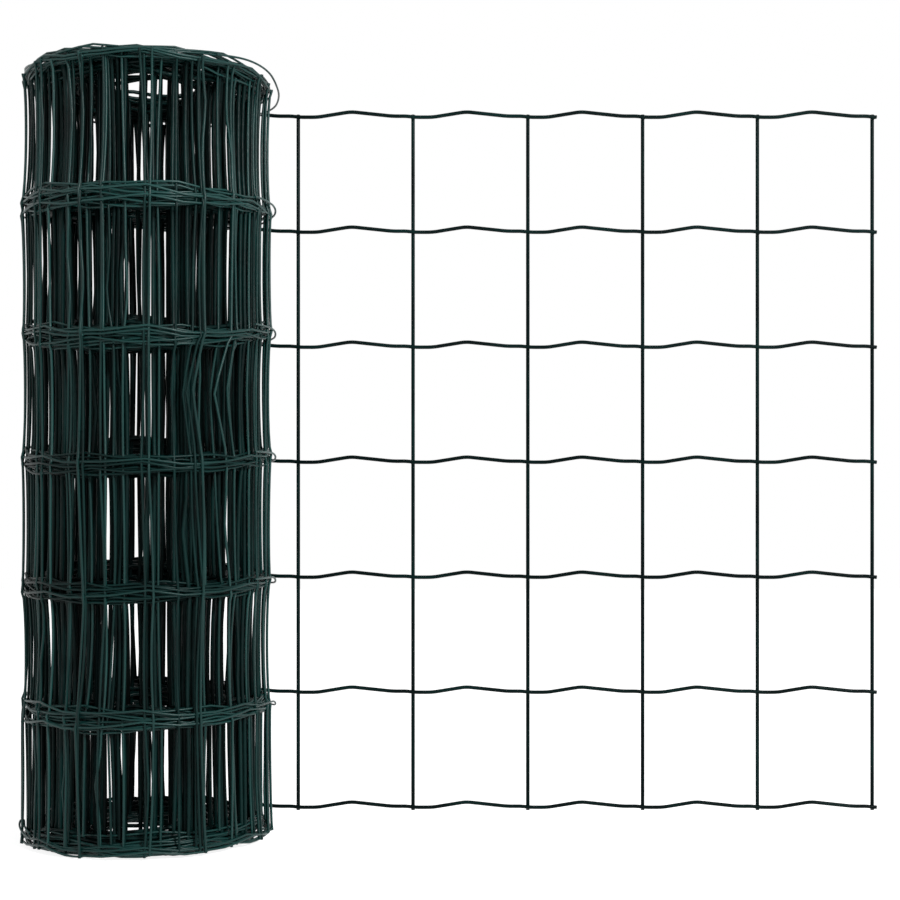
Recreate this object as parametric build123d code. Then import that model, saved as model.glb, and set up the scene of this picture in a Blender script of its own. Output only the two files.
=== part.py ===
from build123d import *
import math
import os

# A roll of welded wire fencing that stands on its end, with the last stretch of the
# mesh pulled off it and hanging out flat.
#
# Frame: the roll's axis is Z and the floor is z = 0. The flat stretch runs along +X
# and leaves the roll on its +Y side. A place along the mesh is its distance s from the
# line where the mesh leaves the roll: s is positive on the flat stretch and negative
# on the roll.

# Driving dimensions, in millimetres
wire_diameter = 3.2          # wire with its coating
mesh_height = 600.0          # between the two border rows
upright_pitch = 100.0        # between neighbouring uprights
row_count = 7
first_free_upright = 11.3    # s of the first upright off the roll
free_upright_count = 7
weld_bite = 0.45             # how deep two welded wires sink into each other
upright_stub = 1.0           # upright left past the border row
row_stub = 3.2               # row left past the axis of the last upright
roll_radius = 102.4          # to the outer face of the uprights, where they cross a row
bore_radius = 35.0
telescoping = 4.5            # how far the wound turns stand out past the outer one, each end
seat_clearance = 0.3         # between the outer turn and the turns that carry it
waist = 3.0                  # how far an upright on the roll draws in between two rows
wound_share = 0.945          # share of a full circle that the outer turn covers

# The wave in a row, from one upright to the next: distance past the upright, height
wave_rise_start = 17.0
wave_peak = 46.0
wave_fall_end = 82.0
wave_height = 4.7
wave_shoulder = 0.9
longest_bent_run = 20.0      # a run on the roll is split until it is no longer
same_place = 1e-6            # places along the mesh closer than this are one

# The wound turns: a band for the wires of each row, and ribs for their uprights
band_height = 26.0
band_depth = 1.5             # how far the ribs lie inside the bands
rib_count = 36
rib_depth = 7.0

# The turns that show on both ends of the roll
turn_count = 10
turn_depth = 3.0
runs_per_turn = 12

# A wire is drawn with six flat sides and the area of the round one
wire_sides = 6
side_angle = math.pi / wire_sides
wire_area = math.pi * wire_diameter ** 2 / 4
hex_radius = math.sqrt(wire_area / (wire_sides * math.sin(side_angle) * math.cos(side_angle)))
hex_flat = hex_radius * math.cos(side_angle)

# Places that follow from the driving dimensions
upright_radius = roll_radius - hex_flat
row_radius = upright_radius - (2 * hex_flat - weld_bite)
row_pitch = mesh_height / (row_count - 1)
border_reach = upright_stub + hex_radius
mesh_foot = telescoping
mesh_head = mesh_foot + mesh_height + 2 * border_reach
roll_height = mesh_head + telescoping
row_heights = [mesh_foot + border_reach + row_pitch * k for k in range(row_count)]
free_length = first_free_upright + (free_upright_count - 1) * upright_pitch
wound_length = 2 * math.pi * row_radius * wound_share
sagitta = row_radius * (1 - math.cos(longest_bent_run / row_radius / 2))
coil_radius = row_radius - sagitta - hex_flat - seat_clearance


def wave_stations():
    """Distances past an upright, and the height of the row there, for one cell."""
    return [
        (0.0, 0.0),
        (wave_rise_start, 0.0),
        (wave_peak, wave_height),
        (wave_fall_end, wave_shoulder),
    ]


def wave_at(s):
    """Height of a row over its straight line at the place s along the mesh."""
    past = (s - first_free_upright) % upright_pitch
    stations = wave_stations() + [(upright_pitch, 0.0)]
    for (s0, h0), (s1, h1) in zip(stations, stations[1:]):
        if past <= s1:
            return h0 + (h1 - h0) * (past - s0) / (s1 - s0)
    return 0.0


def bends_between(low, high):
    """Every bend of a row that lies strictly between two places along the mesh."""
    first = math.floor((low - first_free_upright) / upright_pitch)
    last = math.ceil((high - first_free_upright) / upright_pitch)
    places = []
    for cell in range(first, last):
        start = first_free_upright + cell * upright_pitch
        places += [start + past for past, _ in wave_stations()]
    return [s for s in places if low + same_place < s < high - same_place]


def round_axis(radius, angle):
    """Point at a radius and an angle round the roll's axis."""
    return (radius * math.cos(angle), radius * math.sin(angle))


def on_roll(s, radius, z):
    """Point on the roll at the place s (negative) along the mesh."""
    x, y = round_axis(radius, math.pi / 2 - s / row_radius)
    return (x, y, z)


def bent_wire(points, along, across):
    """A wire through some points: the six-sided section swept along straight runs."""
    section = Plane(origin=points[0], z_dir=along, x_dir=across) * RegularPolygon(
        radius=hex_radius, side_count=wire_sides
    )
    return sweep(section, path=Polyline(*points), transition=Transition.RIGHT)


def flat_upright(x):
    """One straight upright of the flat stretch, its flat side turned to the rows."""
    section = Plane(origin=(x, upright_radius, mesh_foot)) * RegularPolygon(
        radius=hex_radius, side_count=wire_sides
    )
    return extrude(section, amount=mesh_head - mesh_foot)


def wound_upright(s):
    """One upright on the roll, drawn in halfway between each two rows."""
    points = [on_roll(s, upright_radius, mesh_foot)]
    for low, high in zip(row_heights, row_heights[1:]):
        points.append(on_roll(s, upright_radius - waist, (low + high) / 2))
        points.append(on_roll(s, upright_radius, high))
    points[-1] = on_roll(s, upright_radius, mesh_head)
    across = round_axis(1, math.pi - s / row_radius)
    return bent_wire(points, (0, 0, 1), (*across, 0))


def welded(wires):
    """All wires of a stretch of mesh as one solid, joined where they cross."""
    return wires[0].fuse(*wires[1:])


def free_end():
    """The flat stretch: waved rows in front, straight uprights behind them."""
    end = free_length + row_stub
    places = [0.0] + bends_between(0.0, end) + [end]
    wires = []
    for z in row_heights:
        points = [(s, row_radius, z + wave_at(s)) for s in places]
        wires.append(bent_wire(points, (1, 0, 0), (0, 0, 1)))
    for k in range(free_upright_count):
        wires.append(flat_upright(first_free_upright + k * upright_pitch))
    return welded(wires)


def split_runs(places):
    """Places along the roll, with points added where two lie too far apart."""
    result = [places[0]]
    for start, end in zip(places, places[1:]):
        steps = math.ceil(abs(end - start) / longest_bent_run)
        result += [start + (end - start) * k / steps for k in range(1, steps + 1)]
    return result


def outer_turn():
    """The outermost turn of the mesh, bent round the turns below it."""
    bends = bends_between(-wound_length, 0.0)
    places = split_runs([0.0] + bends[::-1] + [-wound_length])
    wires = []
    for z in row_heights:
        points = [on_roll(s, row_radius, z + wave_at(s)) for s in places]
        wires.append(bent_wire(points, (-1, 0, 0), (0, 0, 1)))
    s = first_free_upright - upright_pitch
    while s > -wound_length + hex_radius:
        wires.append(wound_upright(s))
        s -= upright_pitch
    return welded(wires)


def ribbed_outline():
    """Outline of the wound turns between two rows: a rib for each upright that shows."""
    crest_radius = coil_radius - band_depth
    floor_radius = crest_radius - rib_depth
    half_crest = math.asin(wire_diameter / 2 / crest_radius)
    half_foot = math.asin(wire_diameter / 2 / floor_radius)
    outline = []
    for k in range(rib_count):
        middle = 2 * math.pi * k / rib_count
        outline.append(round_axis(floor_radius, middle - half_foot))
        outline.append(round_axis(crest_radius, middle - half_crest))
        outline.append(round_axis(crest_radius, middle + half_crest))
        outline.append(round_axis(floor_radius, middle + half_foot))
    return make_face(Polyline(*outline, close=True))


def row_bands():
    """The bands that the wires of each row make round the wound turns."""
    edges = [0.0]
    for low, high in zip(row_heights, row_heights[1:]):
        edges += [low + band_height / 2, high - band_height / 2]
    edges.append(roll_height)
    bands = []
    for low, high in zip(edges[::2], edges[1::2]):
        section = RegularPolygon(radius=coil_radius, side_count=rib_count)
        bands.append(Pos(0, 0, low) * extrude(section, amount=high - low))
    return bands


def turns_groove():
    """The gap between the turns, as it shows on an end of the roll."""
    pitch = (coil_radius - bore_radius - wire_diameter) / (turn_count + 1)
    gap = pitch - wire_diameter
    inner, outer = [], []
    for k in range(turn_count * runs_per_turn + 1):
        angle = 2 * math.pi * k / runs_per_turn
        radius = bore_radius + wire_diameter + pitch * k / runs_per_turn
        inner.append(round_axis(radius, angle))
        outer.append(round_axis(radius + gap, angle))
    outline = Polyline(*inner, *outer[::-1], close=True)
    return extrude(make_face(outline), amount=turn_depth)


def coil():
    """The wound turns: ribs and bands on their side, a bore, and turns on their ends."""
    ribs = extrude(ribbed_outline(), amount=roll_height)
    body = ribs.fuse(*row_bands())
    bore = extrude(Circle(bore_radius), amount=roll_height)
    groove = turns_groove()
    return body - bore - groove - Pos(0, 0, roll_height - turn_depth) * groove


os.makedirs("parts", exist_ok=True)
for name, make in (("coil", coil), ("outer_turn", outer_turn), ("free_end", free_end)):
    solid = make()
    export_step(solid, f"parts/{name}.step")
    print(name, "volume", round(solid.volume), "solids", len(solid.solids()))
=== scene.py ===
"""Looks of a standing roll of welded wire fencing with its last stretch pulled off flat.

A place on the mesh is first given as if the mesh lay flat: how far it is wound past the
line where the mesh leaves the roll (negative on the flat stretch), how far it stands out
from the rows, and its height. Node trees then wind those places and draw the wires.
"""
import logging
import math
import random
from dataclasses import dataclass, field
from enum import Enum

import bpy
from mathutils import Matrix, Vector, noise


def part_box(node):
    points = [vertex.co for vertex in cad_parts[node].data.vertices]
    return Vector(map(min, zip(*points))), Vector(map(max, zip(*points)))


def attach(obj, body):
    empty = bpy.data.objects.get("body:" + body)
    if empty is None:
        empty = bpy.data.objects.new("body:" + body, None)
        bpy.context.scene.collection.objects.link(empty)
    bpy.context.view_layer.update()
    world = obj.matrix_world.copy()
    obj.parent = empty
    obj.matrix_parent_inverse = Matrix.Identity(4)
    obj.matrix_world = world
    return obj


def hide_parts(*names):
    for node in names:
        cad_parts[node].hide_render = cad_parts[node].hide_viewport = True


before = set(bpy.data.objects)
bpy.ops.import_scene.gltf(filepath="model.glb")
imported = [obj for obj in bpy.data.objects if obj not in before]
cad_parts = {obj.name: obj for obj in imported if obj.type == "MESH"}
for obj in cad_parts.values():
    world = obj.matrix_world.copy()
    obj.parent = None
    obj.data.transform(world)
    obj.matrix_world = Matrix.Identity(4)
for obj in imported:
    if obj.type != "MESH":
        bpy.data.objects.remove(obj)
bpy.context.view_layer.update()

MM = 0.001
# Attribute with each wire's tone: random within its part's range, and that range is painted light and
# shade
TONE_AND_PAINTED_LIGHT = "tone"

# Named inputs of the node trees: what they all wind with, and what the drawn ones end with
SPIRAL_INPUTS = {
    "Outer Radius": "NodeSocketFloat", "Turn Pitch": "NodeSocketFloat", "Loosening": "NodeSocketFloat",
}
# The darkest and the palest tone bound each wire's random tone; the bounds set per part paint light
# and shade
FINISH_INPUTS = {
    "Sides": "NodeSocketInt", "Darkest Tone And Painted Light": "NodeSocketFloat", "Palest Tone And Painted Light": "NodeSocketFloat",
    "Finish": "NodeSocketMaterial",
}

# Places in the noise field from which each kind of stray is read, and the step between seeds
ROUND_NOISE = (8.3, 2.2)
EDGE_NOISE = (4.1, 6.6)
ROW_NOISE = 9.4
SINK_NOISE = 3.9
SEED_STEP = 11.7
log = logging.getLogger("fencing")


def linear(hex_colour: str) -> tuple[float, float, float, float]:
    """Turn an sRGB hex colour into the linear colour that a shader takes.

    Args:
        hex_colour: Six hex digits, with or without a leading hash.

    Returns:
        Linear red, green, blue and an alpha of 1.
    """
    digits = hex_colour.lstrip("#")
    shares = [int(digits[k:k + 2], 16) / 255 for k in (0, 2, 4)]
    low_end = [share / 12.92 for share in shares]
    rest = [((share + 0.055) / 1.055) ** 2.4 for share in shares]
    mixed = [a if share <= 0.04045 else b for share, a, b in zip(shares, low_end, rest)]
    return (mixed[0], mixed[1], mixed[2], 1.0)


def add_node(tree: bpy.types.NodeTree, kind: str, settings: dict | None = None,
             links: dict | None = None) -> bpy.types.Node:
    """Add one node with its settings and what feeds its inputs.

    Args:
        tree: The tree that gets the node.
        kind: Blender's name for the node type.
        settings: Property values of the node.
        links: Input name or number, mapped to an output socket or to a plain value.

    Returns:
        The new node.
    """
    node = tree.nodes.new(kind)
    for key, value in (settings or {}).items():
        setattr(node, key, value)
    for key, value in (links or {}).items():
        socket = node.inputs[key]
        if isinstance(value, bpy.types.NodeSocket):
            tree.links.new(value, socket)
        else:
            socket.default_value = value
    return node


def plainly_seen(tree: bpy.types.NodeTree) -> bpy.types.NodeSocket:
    """Give 1 on camera, glossy and transmission rays, which see plain white, and else 0."""
    ray = add_node(tree, "ShaderNodeLightPath")
    seen = add_node(tree, "ShaderNodeMath", {"operation": "MAXIMUM"}, {
        0: ray.outputs["Is Camera Ray"], 1: ray.outputs["Is Glossy Ray"],
    })
    through = add_node(tree, "ShaderNodeMath", {"operation": "MAXIMUM"}, {
        0: seen.outputs[0], 1: ray.outputs["Is Transmission Ray"],
    })
    return through.outputs[0]


class Part(Enum):
    """The CAD nodes that the drawn wires stand for."""

    COIL = "coil"
    OUTER_TURN = "outer_turn"
    FREE_END = "free_end"


Place = tuple[float, float, float]
# A part's darkest and palest tone, as shares of the coat's two greens; the ranges per part are painted
# light and shade
TonesAndPaintedLight = tuple[float, float]
Feed = bpy.types.NodeSocket | float


@dataclass(frozen=True)
class Stock:
    """The fencing as it is made: its wire, its cells and the wave in its rows."""

    wire: float = 3.2 * MM
    cell: float = 100.0 * MM
    rows: int = 7
    length: float = 25.0
    weld_bite: float = 0.45 * MM
    border_reach: float = 2.76 * MM
    row_stub: float = 3.2 * MM
    first_free_upright: float = 11.3 * MM
    free_uprights: int = 7
    wave: tuple[tuple[float, float], ...] = (
        (0.0, 0.0), (17.0, 0.0), (46.0, 4.7), (82.0, 0.9), (97.0, 0.9), (100.0, 0.0),
    )
    bend: float = 8.0 * MM
    bend_steps: int = 6

    @property
    def radius(self) -> float:
        """Radius of the round wire."""
        return self.wire / 2

    @property
    def uprights(self) -> int:
        """How many uprights the whole length has."""
        return int(self.length / self.cell) + 1

    @property
    def free_length(self) -> float:
        """Distance of the last flat upright from where the mesh leaves the roll."""
        return self.first_free_upright + (self.free_uprights - 1) * self.cell

    def sharp_wave(self, past: float) -> float:
        """Height of the row's sharp zigzag at a distance past an upright, in metres."""
        place = (past % self.cell) / MM
        for (x0, y0), (x1, y1) in zip(self.wave, self.wave[1:]):
            if place <= x1:
                return (y0 + (y1 - y0) * (place - x0) / (x1 - x0)) * MM
        return 0.0

    def wave_height(self, past: float) -> float:
        """Height of the row with its corners rounded over the length of a bend."""
        shares = [k / self.bend_steps - 0.5 for k in range(self.bend_steps + 1)]
        heights = [self.sharp_wave(past + self.bend * share) for share in shares]
        return sum(heights) / len(heights)

    def weld_offset(self, upright_wire: float, row_wire: float) -> float:
        """How far an upright's centre stands out from the rows' centre."""
        return (upright_wire + row_wire) / 2 - self.weld_bite


@dataclass(frozen=True)
class Dent:
    """A place on the roll where handling has pushed the uprights out of line.

    The angle is in degrees round the roll's axis from +X, and the height is counted in
    cells above the lowest row. The push goes along the mesh, towards growing angles.
    """

    angle: float
    cells: float
    push: float
    width: float
    reach: float
    depth: float

    def strength(self, angle: float, cells: float, deep: float) -> float:
        """Share of the push that a place gets.

        Args:
            angle: Angle of the place in degrees.
            cells: Height of the place in cells.
            deep: How far the place lies inside the outermost turn.

        Returns:
            A share from 0 to 1, which is nothing past three times the dent's depth.
        """
        aside = abs((angle - self.angle + 180.0) % 360.0 - 180.0) / self.width
        apart = abs(cells - self.cells) / self.reach
        if aside >= 1 or apart >= 1 or deep > 3 * self.depth:
            return 0.0
        return (1 - aside ** 2) ** 2 * (1 - apart) * math.exp(-(deep / self.depth) ** 2)


UPRIGHT_DENTS = (
    Dent(angle=316.0, cells=3.58, push=-15.0 * MM, width=32.0, reach=0.5, depth=9.0 * MM),
    Dent(angle=241.0, cells=5.56, push=8.0 * MM, width=11.0, reach=0.45, depth=4.0 * MM),
    Dent(angle=235.0, cells=0.69, push=8.0 * MM, width=10.0, reach=0.6, depth=4.0 * MM),
    Dent(angle=327.0, cells=5.6, push=-5.0 * MM, width=12.0, reach=0.45, depth=6.0 * MM),
    Dent(angle=336.0, cells=1.45, push=-4.0 * MM, width=12.0, reach=0.5, depth=6.0 * MM),
    Dent(angle=336.0, cells=0.4, push=-5.0 * MM, width=14.0, reach=0.5, depth=6.0 * MM),
    Dent(angle=322.0, cells=5.35, push=6.0 * MM, width=9.0, reach=0.3, depth=5.0 * MM),
    Dent(angle=226.0, cells=5.7, push=-6.0 * MM, width=8.0, reach=0.3, depth=4.0 * MM),
    Dent(angle=276.0, cells=0.5, push=5.0 * MM, width=9.0, reach=0.5, depth=3.0 * MM),
    Dent(angle=118.0, cells=4.4, push=7.0 * MM, width=18.0, reach=0.5, depth=8.0 * MM),
    Dent(angle=60.0, cells=1.6, push=-6.0 * MM, width=16.0, reach=0.5, depth=8.0 * MM),
)


@dataclass
class Lie:
    """How the mesh lies: its spiral, and how far it strays from a neat one.

    The slips of the outermost turns where each passes the front, their reaches round the
    roll, and the sag and lift of each row are in millimetres. Slides are shares of a reach.
    The grains say how many steps of the noise field go by in one turn, upright or row.
    The seed leads each upright's own slips and small errors, and the wander seed leads the
    smooth shift that neighbouring crossings share.
    """

    stock: Stock
    outer_radius: float
    base: float
    seed: int = 51
    wander_seed: int = 49
    turn_pitch: float = 0.6 * MM
    loosening: float = 0.00021 * MM
    front_slips: tuple[float, ...] = (0.0, -16.0, 5.0, -34.0, -43.0, -21.0, 28.0, -16.0)
    edge_reach: float = 60.0
    edge_grain: float = 2.3
    round_reach: float = 60.0
    round_grain: float = 0.2
    turn_slides: tuple[float, ...] = (0.6, -0.9, 0.5, -0.2, -1.0, 1.0, 0.2, -0.6)
    row_reach: float = 7.0 * MM
    row_wander: float = 5.0 * MM
    row_grain: float = 5.3
    turn_grain: float = 2.6
    row_scatter: float = 0.6 * MM
    border_reach: float = 2.6 * MM
    border_middle: float = -1.6 * MM
    border_wander: float = 2.0 * MM
    border_low: float = -4.4 * MM
    border_high: float = 0.9 * MM
    inner_sink: float = 22.0 * MM
    inner_after: float = 9.0
    inner_over: float = 4.0
    inner_grain: float = 1.7
    side_wander: float = 5.0 * MM
    side_scatter: float = 1.2 * MM
    out_wander: float = 1.6 * MM
    out_scatter: float = 0.3 * MM
    wander_size: float = 60.0 * MM
    front_sag: tuple[float, ...] = (0.0, 4.0, 8.0, 12.0, 16.0, 8.0, 0.0)
    back_lift: tuple[float, ...] = (0.0, 3.0, 6.0, 9.0, 11.0, 9.0, 0.0)
    side_sag: float = 0.6
    settled_after: float = 150.0 * MM
    starts: list[float] = field(default_factory=list)
    crossings: list[list[Place]] = field(default_factory=list)

    def __post_init__(self) -> None:
        """Place every crossing of the mesh once, so that rows and uprights agree."""
        cell = self.stock.cell
        self.starts = [k * cell - self.stock.free_length for k in range(self.stock.free_uprights)]
        while len(self.starts) < self.stock.uprights:
            last = self.starts[-1]
            self.starts.append(last + cell * self.outer_radius / self.spiral(last))
        dice = random.Random(self.seed)
        noise.seed_set(self.wander_seed)
        for j in range(self.stock.uprights):
            self.crossings.append([self._crossing(j, row, dice) for row in range(self.stock.rows)])

    def row_height(self, row: int) -> float:
        """Height of a row before it strays."""
        return self.base + self.stock.border_reach + row * self.stock.cell

    def spiral(self, wound: float) -> float:
        """Radius of the spiral at a wound place: tight turns outside, looser ones inside."""
        turns = max(wound, 0.0) / (math.tau * self.outer_radius)
        return self.outer_radius - self.turn_pitch * turns - self.loosening * turns ** 3

    def deep(self, wound: float) -> float:
        """How far inside the outermost turn a wound place lies."""
        return self.outer_radius - self.spiral(wound)

    def angle(self, wound: float) -> float:
        """Angle of a wound place round the roll's axis, in radians from +X."""
        return math.pi / 2 + wound / self.outer_radius

    def stray(self, *where: float) -> float:
        """Smooth noise of about -0.5 to 0.5, the same for the same place and seed."""
        return noise.noise(Vector(where) + Vector((0.0, 0.0, SEED_STEP * self.seed)))

    def settled(self, wound: float) -> float:
        """Share of the strays that a place takes: none where the mesh leaves the roll."""
        return min(1.0, max(0.0, wound / self.settled_after))

    def turns(self, j: int) -> float:
        """How many turns an upright lies in, counted where they pass the front."""
        return self.starts[j] / (math.tau * self.outer_radius) + 0.5

    def slip_round(self, j: int) -> float:
        """How far one upright has slipped round the roll from where it was wound.

        The wave in the rows gives a little, so the turns don't lie as they were wound.
        The outermost turns have their own slips, counted where each passes the front.

        Args:
            j: Number of the upright, counted from the mesh's free end.

        Returns:
            The slip in metres, towards growing angles.
        """
        turns, last = self.turns(j), len(self.front_slips) - 1
        if turns >= last:
            share = min(1.0, turns - last)
            slip = self.round_reach * self.stray(j * self.round_grain, *ROUND_NOISE)
            return (self.front_slips[last] * (1 - share) + slip * share) * MM
        k = int(turns)
        before, after = self.front_slips[k], self.front_slips[k + 1]
        slip = before + (after - before) * (turns - k)
        stray = self.stray(turns * self.edge_grain, *EDGE_NOISE)
        edge = self.edge_reach * math.sin(math.pi * (turns - k)) * stray
        return (slip + edge) * MM

    def slip_up(self, j: int, row: int) -> float:
        """How far a crossing lies over its row's own height.

        The turns nest, so each turn's rows lie a little higher or lower than those of the
        turn below it, and in another order at each row. The border rows of the inner turns
        also lie inside the roll's ends here and there.

        Args:
            j: Number of the upright, counted from the mesh's free end.
            row: Number of the row, counted from the floor.

        Returns:
            The height over the row's own height, in metres.
        """
        turns, count = self.turns(j), len(self.turn_slides)
        k = int(turns)
        before, after = (self.turn_slides[(k + step + 3 * row) % count] for step in (0, 1))
        slide = before + (after - before) * min(1.0, 2 * (turns - k))
        stray = self.stray(turns * self.turn_grain, row * self.row_grain, ROW_NOISE)
        if 0 < row < self.stock.rows - 1:
            return self.row_reach * slide + self.row_wander * stray
        up = self.border_middle + self.border_reach * slide + self.border_wander * stray
        loose = min(1.0, max(0.0, turns - self.inner_after) / self.inner_over)
        hollow = self.stray(turns * self.inner_grain, SINK_NOISE, row + 0.5)
        sunk = self.inner_sink * loose * max(0.0, hollow)
        up = max(self.border_low, min(self.border_high, up))
        return up + (sunk if row == 0 else -sunk)

    def _crossing(self, j: int, row: int, dice: random.Random) -> Place:
        """Place one crossing on the developed mesh.

        Args:
            j: Number of the upright, counted from the mesh's free end.
            row: Number of the row, counted from the floor.
            dice: Source of the small errors.

        Returns:
            Wound place, distance out and height.
        """
        wound = self.starts[j]
        errors = [dice.gauss(0.0, 1.0) for _ in range(3)]
        share = self.settled(wound)
        if share == 0:
            return (wound, 0.0, self.row_height(row))
        turned, radius = self.angle(wound), self.spiral(wound)
        spot = Vector((radius * math.cos(turned), radius * math.sin(turned), row * self.stock.cell))
        shift = noise.noise_vector(spot / self.wander_size)
        aside = self.slip_round(j) + self.side_wander * shift.x + self.side_scatter * errors[0]
        rise = self.slip_up(j, row) + self.row_scatter * max(-2.0, min(0.0, errors[1]))
        out = self.out_wander * shift.y - self.out_scatter * abs(errors[2])
        return (
            wound + share * aside,
            share * min(out, self.deep(wound)),
            self.row_height(row) + share * rise,
        )

    def unwound(self, angle: float, radius: float, height: float) -> Place:
        """Give the developed place of a point near the outermost turn.

        Args:
            angle: Degrees round the roll's axis from +X, from 90 to 450.
            radius: Distance from the axis.
            height: Height over the floor.

        Returns:
            The place that the winding takes to that point.
        """
        wound = math.radians(angle - 90.0) * self.outer_radius
        return (wound, radius - self.spiral(wound), height)

    def sway(self, place: Place) -> Place:
        """Let a place sag at the front of the roll and lift at its back.

        Args:
            place: A place on the developed mesh.

        Returns:
            The place with its height changed, as its row and its angle ask.
        """
        wound, out, height = place
        share = self.settled(wound)
        if share == 0:
            return place
        cells = (height - self.row_height(0)) / self.stock.cell
        row = max(0, min(self.stock.rows - 2, int(cells)))
        part = max(0.0, min(1.0, cells - row))
        sag = self.front_sag[row] * (1 - part) + self.front_sag[row + 1] * part
        lift = self.back_lift[row] * (1 - part) + self.back_lift[row + 1] * part
        facing = math.sin(self.angle(wound))
        front, back = max(0.0, -facing), max(0.0, facing)
        change = lift * back - sag * front * (1 + self.side_sag * (1 - front))
        return (wound, out, height + share * change * MM)

    def push(self, place: Place, dents: tuple[Dent, ...]) -> float:
        """How far the roll's dents push a place aside."""
        angle, deep = math.degrees(self.angle(place[0])) % 360, self.deep(place[0])
        cells = (place[2] - self.row_height(0)) / self.stock.cell
        return sum(dent.push * dent.strength(angle, cells, deep) for dent in dents)


class WireStretch:
    """Wires given as runs of places on the developed mesh."""

    def __init__(self) -> None:
        """Start with no wires."""
        self.points: list[Place] = []
        self.edges: list[tuple[int, int]] = []

    def add(self, run: list[Place]) -> None:
        """Add one wire as a run of places."""
        first = len(self.points)
        self.points += run
        self.edges += [(first + k, first + k + 1) for k in range(len(run) - 1)]

    def mesh(self, name: str) -> bpy.types.Mesh:
        """Give the wires as a mesh of edges, one vertex for each place."""
        made = bpy.data.meshes.new(name)
        made.from_pydata(self.points, self.edges, [])
        return made


class WindingTrees:
    """The node trees that wind the developed mesh and draw its wires and welds."""

    bead_rings: int = 5
    smallest_bead: float = 0.85
    largest_bead: float = 1.15

    def __init__(self, lie: Lie) -> None:
        """Build the three trees once for the lie that is given."""
        self.lie = lie
        self.winding = self._winding_tree()
        self.wires = self._wire_tree()
        self.welds = self._weld_tree()

    @staticmethod
    def _new_tree(name: str, inputs: dict[str, str]) -> bpy.types.NodeTree:
        """Make an empty tree with a geometry socket each way and more named inputs.

        Args:
            name: Name of the tree.
            inputs: Name of each further input, mapped to its socket type.

        Returns:
            The tree, with no node yet.
        """
        tree = bpy.data.node_groups.new(name, "GeometryNodeTree")
        tree.interface.new_socket("Geometry", in_out="INPUT", socket_type="NodeSocketGeometry")
        for label, kind in inputs.items():
            tree.interface.new_socket(label, in_out="INPUT", socket_type=kind)
        tree.interface.new_socket("Geometry", in_out="OUTPUT", socket_type="NodeSocketGeometry")
        return tree

    def _winding_tree(self) -> bpy.types.NodeTree:
        """Build the tree that bends the developed mesh round the roll."""
        tree = self._new_tree("Wind the mesh", SPIRAL_INPUTS)
        given = add_node(tree, "NodeGroupInput")

        def maths(operation: str, first: Feed, second: Feed = 0.0) -> bpy.types.NodeSocket:
            """Add one sum of the winding formula and give its result."""
            node = add_node(tree, "ShaderNodeMath", {"operation": operation}, {0: first, 1: second})
            return node.outputs[0]

        place = add_node(tree, "GeometryNodeInputPosition")
        split = add_node(tree, "ShaderNodeSeparateXYZ", links={0: place.outputs[0]})
        radius = given.outputs["Outer Radius"]
        wound = maths("MAXIMUM", split.outputs["X"])
        loose = maths("MAXIMUM", maths("MULTIPLY", split.outputs["X"], -1.0))
        turned = maths("DIVIDE", wound, radius)
        turns = maths("DIVIDE", turned, math.tau)
        tight = maths("MULTIPLY", turns, given.outputs["Turn Pitch"])
        slack = maths("MULTIPLY", maths("POWER", turns, 3.0), given.outputs["Loosening"])
        spiral = maths("SUBTRACT", maths("SUBTRACT", radius, tight), slack)
        angle = maths("ADD", turned, math.pi / 2)
        reach = maths("ADD", spiral, split.outputs["Y"])
        across = maths("ADD", maths("MULTIPLY", reach, maths("COSINE", angle)), loose)
        away = maths("MULTIPLY", reach, maths("SINE", angle))
        joined = add_node(tree, "ShaderNodeCombineXYZ",
                          links={"X": across, "Y": away, "Z": split.outputs["Z"]})
        moved = add_node(tree, "GeometryNodeSetPosition",
                         links={"Geometry": given.outputs["Geometry"], "Position": joined.outputs[0]})
        add_node(tree, "NodeGroupOutput", links={"Geometry": moved.outputs[0]})
        return tree

    def _wound(self, tree: bpy.types.NodeTree, given: bpy.types.Node) -> bpy.types.NodeSocket:
        """Put the winding tree after a tree's inputs and give the wound geometry."""
        node = add_node(tree, "GeometryNodeGroup", {"node_tree": self.winding}, {
            label: given.outputs[label] for label in ("Geometry", *SPIRAL_INPUTS)
        })
        return node.outputs["Geometry"]

    def _toned(self, tree: bpy.types.NodeTree, given: bpy.types.Node,
               geometry: bpy.types.NodeSocket, domain: str) -> bpy.types.NodeSocket:
        """Give each wire or bead a random tone of its own between the given bounds, which its finish
        reads; the bounds, set per part, are painted light and shade.
        """
        tone = add_node(tree, "FunctionNodeRandomValue", {"data_type": "FLOAT"}, {
            2: given.outputs["Darkest Tone And Painted Light"], 3: given.outputs["Palest Tone And Painted Light"], "Seed": self.lie.seed,
        })
        stored = add_node(tree, "GeometryNodeStoreNamedAttribute",
                          {"data_type": "FLOAT", "domain": domain},
                          {"Geometry": geometry, "Name": TONE_AND_PAINTED_LIGHT, "Value": tone.outputs[1]})
        return stored.outputs[0]

    def _wire_tree(self) -> bpy.types.NodeTree:
        """Build the tree that winds runs of edges and draws round wires along them."""
        tree = self._new_tree("Draw the wires", {
            **SPIRAL_INPUTS, "Wire Radius": "NodeSocketFloat", **FINISH_INPUTS,
        })
        given = add_node(tree, "NodeGroupInput")
        runs = add_node(tree, "GeometryNodeMeshToCurve", links={0: self._wound(tree, given)})
        section = add_node(tree, "GeometryNodeCurvePrimitiveCircle", {"mode": "RADIUS"}, {
            "Resolution": given.outputs["Sides"], "Radius": given.outputs["Wire Radius"],
        })
        drawn = add_node(tree, "GeometryNodeCurveToMesh", links={
            "Curve": self._toned(tree, given, runs.outputs[0], "CURVE"),
            "Profile Curve": section.outputs[0], "Fill Caps": True,
        })
        smooth = add_node(tree, "GeometryNodeSetShadeSmooth", links={0: drawn.outputs[0]})
        self._finish(tree, smooth.outputs[0], given)
        return tree

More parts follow.
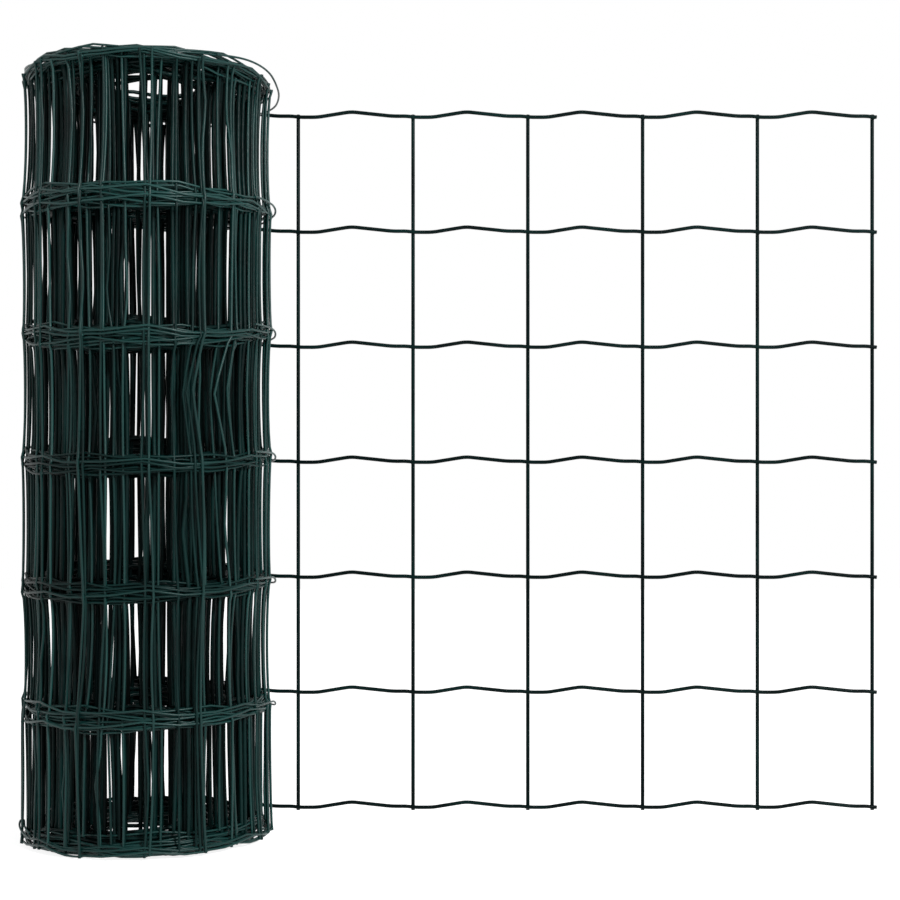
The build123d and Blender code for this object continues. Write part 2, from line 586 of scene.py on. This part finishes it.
    def _weld_tree(self) -> bpy.types.NodeTree:
        """Build the tree that winds the crossings and puts a bead of coating on each."""
        tree = self._new_tree("Put the beads on the welds", {
            **SPIRAL_INPUTS, "Bead Radius": "NodeSocketFloat", **FINISH_INPUTS,
        })
        given = add_node(tree, "NodeGroupInput")
        bead = add_node(tree, "GeometryNodeMeshUVSphere", links={
            "Segments": given.outputs["Sides"], "Rings": self.bead_rings,
            "Radius": given.outputs["Bead Radius"],
        })
        smooth = add_node(tree, "GeometryNodeSetShadeSmooth", links={0: bead.outputs[0]})
        spread = add_node(tree, "FunctionNodeRandomValue", {"data_type": "FLOAT"}, {
            2: self.smallest_bead, 3: self.largest_bead, "Seed": self.lie.seed,
        })
        placed = add_node(tree, "GeometryNodeInstanceOnPoints", links={
            "Points": self._wound(tree, given), "Instance": smooth.outputs[0],
            "Scale": spread.outputs[1],
        })
        self._finish(tree, self._toned(tree, given, placed.outputs[0], "INSTANCE"), given)
        return tree

    @staticmethod
    def _finish(tree: bpy.types.NodeTree, geometry: bpy.types.NodeSocket,
                given: bpy.types.Node) -> None:
        """End a tree: make instances real and give the mesh its finish."""
        real = add_node(tree, "GeometryNodeRealizeInstances", links={0: geometry})
        dressed = add_node(tree, "GeometryNodeSetMaterial", links={
            "Geometry": real.outputs[0], "Material": given.outputs["Finish"],
        })
        add_node(tree, "NodeGroupOutput", links={"Geometry": dressed.outputs[0]})

    def run(self, name: str, places: bpy.types.Mesh, tree: bpy.types.NodeTree,
            values: dict[str, object]) -> bpy.types.Object:
        """Run a tree on developed places and keep its result as a plain mesh.

        Args:
            name: Name of the piece.
            places: The developed places, as vertices and edges.
            tree: The tree to run.
            values: Value of each named input but the spiral's, which are filled in.

        Returns:
            The piece, at the origin, with no modifier left.
        """
        source = bpy.data.objects.new(name + "_places", places)
        bpy.context.collection.objects.link(source)
        modifier = source.modifiers.new("trees", "NODES")
        modifier.node_group = tree
        given = {"Outer Radius": self.lie.outer_radius, "Turn Pitch": self.lie.turn_pitch,
                 "Loosening": self.lie.loosening, **values}
        for item in tree.interface.items_tree:
            if item.item_type == "SOCKET" and item.in_out == "INPUT" and item.name in given:
                modifier[item.identifier] = given[item.name]
        evaluated = source.evaluated_get(bpy.context.evaluated_depsgraph_get())
        mesh = bpy.data.meshes.new_from_object(evaluated)
        mesh.name = name
        bpy.data.objects.remove(source, do_unlink=True)
        piece = bpy.data.objects.new(name, mesh)
        bpy.context.collection.objects.link(piece)
        return piece


@dataclass(frozen=True)
class CoatedWire:
    """Steel wire with an extruded PVC coat: dark green, with a soft shine that varies.

    The coat is smooth but not even, so a wire shows a broken line of light and not a
    sharp one. A wire's tone leads from the dark green to the pale one, and its shine too.
    Each part's range of tones is painted light and shade: paler on the outer turn and the
    stray ends, darker on the deep turns and the flat stretch. Within a range the tone is random.
    """

    name: str = "pvc_coated_wire"
    dark: str = "#030f0f"
    pale: str = "#13403d"
    darkest_sum: float = 0.48
    palest_sum: float = 1.6
    smoothest: float = 0.22
    roughest: float = 0.42
    ior: float = 1.53
    dullest: float = 0.03
    shiniest: float = 0.25
    mottle: float = 45.0 * MM
    unevenness: float = 5.0 * MM
    relief: float = 0.4 * MM
    relief_strength: float = 0.5

    def material(self) -> bpy.types.Material:
        """Build the coat: a tone for each wire, a slight mottle and an uneven skin."""
        made = bpy.data.materials.new(self.name)
        made.use_nodes = True
        tree = made.node_tree
        shader = tree.nodes["Principled BSDF"]
        place = add_node(tree, "ShaderNodeTexCoord")
        tone = add_node(tree, "ShaderNodeAttribute", {"attribute_name": TONE_AND_PAINTED_LIGHT})
        cloud = add_node(tree, "ShaderNodeTexNoise", links={
            "Vector": place.outputs["Object"], "Scale": 1 / self.mottle, "Detail": 3.0,
        })
        mixed = add_node(tree, "ShaderNodeMath", {"operation": "ADD"}, {
            0: tone.outputs["Fac"], 1: cloud.outputs["Fac"],
        })
        share = add_node(tree, "ShaderNodeMapRange", links={
            "Value": mixed.outputs[0], "From Min": self.darkest_sum, "From Max": self.palest_sum,
        })
        green = add_node(tree, "ShaderNodeMix", {"data_type": "RGBA"}, {
            "Factor": share.outputs[0], 6: linear(self.dark), 7: linear(self.pale),
        })
        tree.links.new(green.outputs[2], shader.inputs["Base Color"])
        skin = add_node(tree, "ShaderNodeTexNoise", links={
            "Vector": place.outputs["Object"], "Scale": 1 / self.unevenness, "Detail": 2.0,
        })
        dull = add_node(tree, "ShaderNodeMapRange", links={
            "Value": skin.outputs["Fac"], "To Min": self.smoothest, "To Max": self.roughest,
        })
        tree.links.new(dull.outputs[0], shader.inputs["Roughness"])
        relief = add_node(tree, "ShaderNodeBump", links={
            "Height": skin.outputs["Fac"], "Strength": self.relief_strength,
            "Distance": self.relief,
        })
        tree.links.new(relief.outputs[0], shader.inputs["Normal"])
        shader.inputs["IOR"].default_value = self.ior
        shine = add_node(tree, "ShaderNodeMapRange", links={
            "Value": tone.outputs["Fac"], "To Min": self.dullest, "To Max": self.shiniest,
        })
        tree.links.new(shine.outputs[0], shader.inputs["Specular IOR Level"])
        return made


@dataclass
class Workshop:
    """Turns runs of places and beads into finished pieces of the object."""

    trees: WindingTrees
    finish: bpy.types.Material

    def _settle(self, piece: bpy.types.Object, part: Part) -> None:
        """Tie a piece to the frame, hide the CAD node that it stands for and log its faces."""
        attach(piece, "root")
        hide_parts(part.value)
        log.info("%s: %d faces", piece.name, len(piece.data.polygons))

    def draw(self, name: str, runs: list[list[Place]], wire: float, sides: int,
             tones_and_painted_light: TonesAndPaintedLight, part: Part) -> None:
        """Draw one group of wires as a piece, whose tone range paints the part's light and shade.

        Args:
            name: Name of the piece.
            runs: One run of developed places for each wire.
            wire: Diameter of the wire.
            sides: Sides of its section.
            tones_and_painted_light: The darkest and the palest tone, as shares of the finish's two
                greens.
            part: The CAD node that the piece stands for.
        """
        stretch = WireStretch()
        for run in runs:
            stretch.add(run)
        values = {"Wire Radius": wire / 2, "Sides": sides, "Darkest Tone And Painted Light": tones_and_painted_light[0],
                  "Palest Tone And Painted Light": tones_and_painted_light[1], "Finish": self.finish}
        self._settle(self.trees.run(name, stretch.mesh(name), self.trees.wires, values), part)

    def beads(self, name: str, places: list[Place], radius: float, sides: int,
              tones_and_painted_light: TonesAndPaintedLight, part: Part) -> None:
        """Put a bead of coating on each of some welds, as one piece, whose tone range paints the
        part's light and shade.

        Args:
            name: Name of the piece.
            places: The developed places of the beads.
            radius: Radius of a bead.
            sides: Sides of a bead.
            tones_and_painted_light: The darkest and the palest tone, as shares of the finish's two
                greens.
            part: The CAD node that the piece stands for.
        """
        stretch = WireStretch()
        for place in places:
            stretch.add([place])
        values = {"Bead Radius": radius, "Sides": sides, "Darkest Tone And Painted Light": tones_and_painted_light[0],
                  "Palest Tone And Painted Light": tones_and_painted_light[1], "Finish": self.finish}
        self._settle(self.trees.run(name, stretch.mesh(name), self.trees.welds, values), part)


@dataclass
class FlatStretch:
    """The last stretch of the mesh, pulled off the roll: straight, flat and regular."""

    lie: Lie
    shop: Workshop
    sides: int = 16
    row_steps: int = 40
    bead: float = 2.1 * MM
    bead_in: float = 0.8 * MM
    bead_sides: int = 12
    trim: float = 0.1 * MM
    # Painted shade: the flat stretch's wires and welds keep to the darkest, dullest tones of the coat
    tones_and_painted_light: TonesAndPaintedLight = (0.0, 0.1)

    def upright(self, j: int) -> list[Place]:
        """The two ends of one straight upright."""
        stock = self.lie.stock
        offset = stock.weld_offset(stock.wire, stock.wire)
        low, high = self.lie.crossings[j][0], self.lie.crossings[j][-1]
        return [
            (low[0], offset, low[2] - stock.border_reach),
            (high[0], offset, high[2] + stock.border_reach),
        ]

    def row(self, row: int) -> list[Place]:
        """Places along one row, from its free end to the line where it meets the roll."""
        stock = self.lie.stock
        height = self.lie.row_height(row)
        run = [(self.trim - stock.free_length - stock.row_stub, 0.0, height)]
        for j in range(stock.free_uprights - 1):
            start = self.lie.crossings[j][row][0]
            for k in range(self.row_steps):
                share = k / self.row_steps
                past = stock.cell * (1 - share)
                run.append((start + stock.cell * share, 0.0, height + stock.wave_height(past)))
        run.append((-stock.first_free_upright, 0.0, height + stock.wave_height(0.0)))
        return run

    def build(self) -> None:
        """Make the uprights, the rows and the beads on the welds."""
        stock = self.lie.stock
        free = range(stock.free_uprights)
        self.shop.draw("free_uprights", [self.upright(j) for j in free], stock.wire, self.sides,
                       self.tones_and_painted_light, Part.FREE_END)
        self.shop.draw("free_rows", [self.row(row) for row in range(stock.rows)], stock.wire,
                       self.sides, self.tones_and_painted_light, Part.FREE_END)
        welds = [(u, self.bead_in, height) for j in free for u, _, height in self.lie.crossings[j]]
        self.shop.beads("free_welds", welds, self.bead, self.bead_sides, self.tones_and_painted_light,
                        Part.FREE_END)


@dataclass(frozen=True)
class Layer:
    """Some of the wound uprights and the rows between them, drawn with the same care.

    The stations are shares of a cell at which an upright or a row gets a place.
    """

    name: str
    first: int
    last: int
    upright_wire: float
    row_wire: float
    sides: int
    upright_stations: tuple[float, ...]
    row_stations: tuple[float, ...]
    # Painted light and shade: the layer's range of tones, paler on the outer turn and darker deep in
    # the roll
    tones_and_painted_light: TonesAndPaintedLight
    part: Part

    def offset(self, stock: Stock) -> float:
        """How far this layer's uprights stand out from its rows."""
        return stock.weld_offset(self.upright_wire, self.row_wire)


@dataclass
class WoundTurns:
    """The turns on the roll: uprights drawn in between the rows, bent and dented.

    The waists say how far uprights draw in between two rows, in millimetres from the floor
    up. A range gives the smallest and the largest share that a random draw may take.
    """

    lie: Lie
    shop: Workshop
    outer_wire: float = 2.15 * MM
    near_wire: float = 2.0 * MM
    row_wire: float = 1.75 * MM
    deep_wire: float = 3.2 * MM
    bow: float = 0.7 * MM
    waists: tuple[float, ...] = (1.0, 3.6, 1.6, 2.6, 1.8, 3.8)
    waist_power: float = 0.4
    kink_share: float = 0.07
    kink: float = 3.5 * MM
    kink_half: float = 0.3
    kink_places: tuple[float, float] = (0.3, 0.7)
    kink_range: tuple[float, float] = (0.6, 1.4)
    waist_range: tuple[float, float] = (0.7, 1.1)
    yield_range: tuple[float, float] = (0.4, 1.3)
    stub: float = 0.9 * MM
    wave_spread: float = 0.25
    wave_range: tuple[float, float] = (-1.0, 0.2)
    row_jitter: float = 0.25 * MM
    bead: float = 1.25 * MM
    outer_uprights: int = 6
    near_uprights: int = 84
    dice: random.Random = field(default_factory=lambda: random.Random(21))

    def _between(self, low: Place, high: Place, offset: float, waist: float,
                 stations: tuple[float, ...]) -> list[Place]:
        """Places on an upright between two rows, drawn in, bowed and sometimes kinked.

        Args:
            low: The lower crossing.
            high: The upper crossing.
            offset: How far the upright stands out from the rows.
            waist: How far it draws in.
            stations: Shares of the way from one crossing to the other.

        Returns:
            The places between the two crossings.
        """
        side = self.dice.gauss(0.0, self.bow)
        inward = waist * self.dice.uniform(*self.waist_range)
        kinked = self.dice.random() < self.kink_share
        kink_at = self.dice.uniform(*self.kink_places)
        kink = self.dice.choice((-1, 1)) * self.kink * self.dice.uniform(*self.kink_range) * kinked
        yielding = self.dice.uniform(*self.yield_range)
        places = []
        for share in stations:
            bulge = math.sin(math.pi * share)
            wound, out, height = (a + (b - a) * share for a, b in zip(low, high))
            out += offset - inward * bulge ** self.waist_power
            aside = side * bulge + kink * max(0.0, 1 - abs(share - kink_at) / self.kink_half)
            aside += yielding * self.lie.push((wound, out, height), UPRIGHT_DENTS)
            places.append(self.lie.sway((wound + aside, out, height)))
        return places

    def upright(self, j: int, layer: Layer) -> list[Place]:
        """Places along one upright, from the floor up.

        Args:
            j: Number of the upright, counted from the mesh's free end.
            layer: The layer that it belongs to.

        Returns:
            The places, with a short stub past the first and last row.
        """
        offset = layer.offset(self.lie.stock)
        ends = self.lie.crossings[j]
        run = [(ends[0][0], ends[0][1] + offset, ends[0][2] - self.stub)]
        for low, high, waist in zip(ends, ends[1:], self.waists):
            run.append(self.lie.sway((low[0], low[1] + offset, low[2])))
            run += self._between(low, high, offset, waist * MM, layer.upright_stations)
        run.append((ends[-1][0], ends[-1][1] + offset, ends[-1][2]))
        run.append((ends[-1][0], ends[-1][1] + offset, ends[-1][2] + self.stub))
        return run

    def row(self, row: int, first: int, last: int, stations: tuple[float, ...]) -> list[Place]:
        """Places along one row between two uprights.

        Args:
            row: Number of the row, counted from the floor.
            first: Number of the first upright.
            last: Number of the last upright.
            stations: Shares of a cell at which the row gets a place.

        Returns:
            The places, wave and all.
        """
        stock = self.lie.stock
        run = []
        for j in range(first, last):
            start, end = self.lie.crossings[j][row], self.lie.crossings[j + 1][row]
            spread = self.wave_spread * self.lie.settled(start[0])
            tall = 1 + spread * self.dice.uniform(*self.wave_range)
            for share in stations:
                wound, out, height = (a + (b - a) * share for a, b in zip(start, end))
                height += tall * stock.sharp_wave(stock.cell * (1 - share))
                height -= self.row_jitter * self.dice.random()
                run.append(self.lie.sway((wound, out, height)))
        end = self.lie.crossings[last][row]
        run.append(self.lie.sway(end))
        return run

    def layers(self) -> list[Layer]:
        """The outermost turn, the turns that show and the ones deep inside."""
        stock = self.lie.stock
        outer = stock.free_uprights + self.outer_uprights
        near = outer + self.near_uprights
        fine = (0.05, 0.17, 0.3, 0.43, 0.57, 0.7, 0.83, 0.95)
        rough = (0.06, 0.25, 0.5, 0.75, 0.94)
        waved = (0.0, 0.03, 0.1, 0.18, 0.3, 0.42, 0.54, 0.64, 0.74, 0.83, 0.92)
        bent = (0.0, 0.18, 0.36, 0.54, 0.68, 0.83)
        thin, deep = self.row_wire, self.deep_wire
        # Painted light and shade: the outer turn's tones are paler, as lit from outside, and the deep
        # turns' tones darker, as in the shade inside the roll; the near turns span the range
        return [
            Layer("outer_turn", stock.free_uprights, outer, self.outer_wire, thin, 12, fine, waved,
                  (0.5, 1.0), Part.OUTER_TURN),
            Layer("near_turns", outer, near, self.near_wire, thin, 8, fine, waved, (0.22, 1.0),
                  Part.COIL),
            Layer("deep_turns", near, stock.uprights, deep, deep, 6, rough, bent, (0.0, 0.3),
                  Part.COIL),
        ]

    def build(self) -> None:
        """Make the uprights, rows and beads of every layer."""
        stock = self.lie.stock
        for layer in self.layers():
            numbers = range(layer.first, layer.last)
            uprights = [self.upright(j, layer) for j in numbers]
            self.shop.draw(f"{layer.name}_uprights", uprights, layer.upright_wire, layer.sides,
                           layer.tones_and_painted_light, layer.part)
            rows = [self.row(row, layer.first - 1, layer.last - 1, layer.row_stations)
                    for row in range(stock.rows)]
            self.shop.draw(f"{layer.name}_rows", rows, layer.row_wire, layer.sides, layer.tones_and_painted_light,
                           layer.part)
            welds = [self.lie.sway((wound, out + layer.offset(stock) / 2, height))
                     for j in numbers for wound, out, height in self.lie.crossings[j]]
            self.shop.beads(f"{layer.name}_welds", welds, self.bead, layer.sides, layer.tones_and_painted_light,
                            layer.part)


@dataclass
class StrayEnds:
    """Single wires that have sprung off the roll at its edges, its top and its foot.

    A strand is a list of points: degrees round the axis, distance from it, and height
    over the row that it belongs to, in millimetres.
    """

    lie: Lie
    shop: Workshop
    wire: float = 1.6 * MM
    sides: int = 10
    steps: int = 6
    # Painted highlight: the stray ends keep to the palest, shiniest tones of the coat, so they show as
    # pale glints
    tones_and_painted_light: TonesAndPaintedLight = (0.6, 1.0)
    top_loop: tuple[tuple[float, float, float], ...] = (
        (312.0, 99.0, 2.0), (330.0, 100.6, 4.6), (348.0, 101.6, 4.0), (362.0, 103.2, 0.0),
        (374.0, 105.6, -2.4), (385.0, 107.6, -4.6), (396.0, 109.2, -4.4), (405.0, 114.5, -1.6),
        (412.0, 123.8, 0.0),
    )
    edge_hook: tuple[tuple[float, float, float], ...] = (
        (338.0, 98.0, 2.0), (351.0, 99.0, 2.6), (360.0, 100.8, 2.4), (364.0, 102.0, 0.4),
        (368.0, 101.4, -1.8), (377.0, 99.0, -2.6), (392.0, 97.6, -2.8),
    )
    foot_loop: tuple[tuple[float, float, float], ...] = (
        (214.0, 97.5, 2.0), (205.0, 99.6, 4.6), (199.0, 100.6, 8.0), (196.0, 99.6, 11.0),
        (199.0, 97.2, 12.0), (204.0, 97.6, 8.6), (211.0, 96.6, 5.0),
    )

    left_edge: tuple[tuple[float, float, float], ...] = (
        (196.0, 97.6, 102.0), (191.0, 98.8, 92.0), (188.0, 99.4, 66.0), (187.0, 99.5, 40.0),
        (188.0, 99.4, 16.0), (192.0, 98.6, 4.0), (198.0, 97.4, 1.5),
    )

    def strand(self, points: tuple[tuple[float, float, float], ...], row: int) -> list[Place]:
        """Give the places of one strand, with its corners rounded.

        Args:
            points: The strand's points.
            row: Number of the row that it belongs to, counted from the floor.

        Returns:
            Places along a smooth line through the points.
        """
        base = self.lie.row_height(row)
        given = [Vector((angle, radius * MM, base + height * MM)) for angle, radius, height in points]
        given = [2 * given[0] - given[1]] + given + [2 * given[-1] - given[-2]]
        run = []
        for a, b, c, d in zip(given, given[1:], given[2:], given[3:]):
            for k in range(self.steps):
                t = k / self.steps
                spot = b + t / 2 * (c - a + t * (2 * a - 5 * b + 4 * c - d
                                                 + t * (3 * (b - c) + d - a)))
                run.append(self.lie.unwound(*spot))
        run.append(self.lie.unwound(*given[-2]))
        return run

    def build(self) -> None:
        """Make the loop at the top, the hooks at the edge and the two strands at the foot."""
        rows = self.lie.stock.rows
        strands = [self.strand(self.top_loop, rows - 1), self.strand(self.foot_loop, 0),
                   self.strand(self.left_edge, 0)]
        strands += [self.strand(self.edge_hook, row) for row in range(1, rows - 1)]
        self.shop.draw("stray_ends", strands, self.wire, self.sides, self.tones_and_painted_light, Part.OUTER_TURN)


@dataclass(frozen=True)
class Studio:
    """Camera, pale floor and soft light.

    The scale of the flat stretch is in pixels a metre, and the focal length and the
    horizon are in pixels of a square frame.
    """

    base: float
    flat_y: float
    flat_scale: float = 1150.0
    focal: float = 1576.0
    frame_side: float = 900.0
    centre_x: float = 243.5 * MM
    eye_over_base: float = 238.0 * MM
    horizon: float = 536.7
    sensor: float = 36.0
    floor_side: float = 6.0
    floor_colour: str = "#f4f4f4"
    near_glow: float = 0.86
    far_glow: float = 1.0
    glow_from: float = 0.6
    glow_to: float = 1.8
    world_light: float = 0.18
    aim: Place = (0.1, 0.0, 0.3)
    key_place: Place = (1.9, -2.2, 1.6)
    key_size: float = 0.5
    key_power: float = 86.0
    fill_place: Place = (-1.8, -1.6, 0.9)
    fill_size: float = 1.5
    fill_power: float = 5.0

    def camera(self) -> None:
        """Set the camera level, at the photograph's distance and eye height."""
        data = bpy.data.cameras.new("camera")
        data.sensor_width = self.sensor
        data.lens = self.sensor * self.focal / self.frame_side
        data.shift_y = (self.horizon - self.frame_side / 2) / self.frame_side
        data.clip_end = 50.0
        eye = bpy.data.objects.new("camera", data)
        distance = self.focal / self.flat_scale - self.flat_y
        eye.location = (self.centre_x, -distance, self.base + self.eye_over_base)
        eye.rotation_euler = (math.pi / 2, 0.0, 0.0)
        bpy.context.collection.objects.link(eye)
        bpy.context.scene.camera = eye

    def floor_white(self) -> bpy.types.Material:
        """Build a matt white paint that shows as plain white and still takes a soft shadow.

        Less is added to the lit white beside the object than where the lamps don't reach.
        """
        made = bpy.data.materials.new("floor_white")
        made.use_nodes = True
        tree = made.node_tree
        tree.nodes.remove(tree.nodes["Principled BSDF"])
        matt = add_node(tree, "ShaderNodeBsdfDiffuse", links={"Color": linear(self.floor_colour)})
        place = add_node(tree, "ShaderNodeTexCoord")
        away = add_node(tree, "ShaderNodeVectorMath", {"operation": "LENGTH"},
                        {0: place.outputs["Object"]})
        glow = add_node(tree, "ShaderNodeMapRange", links={
            "Value": away.outputs["Value"], "From Min": self.glow_from, "From Max": self.glow_to,
            "To Min": self.near_glow, "To Max": self.far_glow,
        })
        strength = add_node(tree, "ShaderNodeMath", {"operation": "MULTIPLY"}, {
            0: plainly_seen(tree), 1: glow.outputs[0],
        })
        added = add_node(tree, "ShaderNodeEmission", links={"Strength": strength.outputs[0]})
        both = add_node(tree, "ShaderNodeAddShader", links={0: matt.outputs[0], 1: added.outputs[0]})
        tree.links.new(both.outputs[0], tree.nodes["Material Output"].inputs["Surface"])
        return made

    def floor(self) -> None:
        """Lay the floor that the roll stands on."""
        side = self.floor_side
        mesh = bpy.data.meshes.new("floor")
        mesh.from_pydata([(-side, -side, 0), (side, -side, 0), (side, side, 0), (-side, side, 0)],
                         [], [(0, 1, 2, 3)])
        mesh.materials.append(self.floor_white())
        floor = bpy.data.objects.new("floor", mesh)
        bpy.context.collection.objects.link(floor)

    def lamp(self, name: str, place: Place, size: float, power: float) -> None:
        """Hang one square lamp that points at the roll.

        Args:
            name: Name of the lamp.
            place: Where it hangs.
            size: Side of the square.
            power: Its power in watts.
        """
        data = bpy.data.lights.new(name, "AREA")
        data.size = size
        data.energy = power
        lamp = bpy.data.objects.new(name, data)
        lamp.location = place
        towards = Vector(self.aim) - Vector(place)
        lamp.rotation_euler = towards.to_track_quat("-Z", "Y").to_euler()
        bpy.context.collection.objects.link(lamp)

    def light(self) -> None:
        """Light the object softly from the front right, with an even pale world."""
        world = bpy.data.worlds.new("world")
        bpy.context.scene.world = world
        world.use_nodes = True
        tree = world.node_tree
        level = add_node(tree, "ShaderNodeMapRange", links={
            "Value": plainly_seen(tree), "To Min": self.world_light, "To Max": 1.0,
        })
        back = tree.nodes["Background"]
        back.inputs["Color"].default_value = (1, 1, 1, 1)
        tree.links.new(level.outputs[0], back.inputs["Strength"])
        self.lamp("key", self.key_place, self.key_size, self.key_power)
        self.lamp("fill", self.fill_place, self.fill_size, self.fill_power)

    def build(self) -> None:
        """Set up the whole studio."""
        bpy.context.scene.view_settings.view_transform = "Standard"
        self.camera()
        self.floor()
        self.light()


def main() -> None:
    """Build the studio and the fencing, then note the sizes."""
    logging.basicConfig(level=logging.INFO, format="%(message)s")
    stock = Stock()
    low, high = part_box(Part.FREE_END.value)
    outer = high[1] - stock.radius - stock.weld_offset(stock.wire, stock.wire)
    lie = Lie(stock, outer_radius=outer, base=low[2])
    shop = Workshop(WindingTrees(lie), CoatedWire().material())
    Studio(base=lie.base, flat_y=outer).build()
    FlatStretch(lie, shop).build()
    WoundTurns(lie, shop).build()
    StrayEnds(lie, shop).build()


if __name__ == "__main__":
    main()
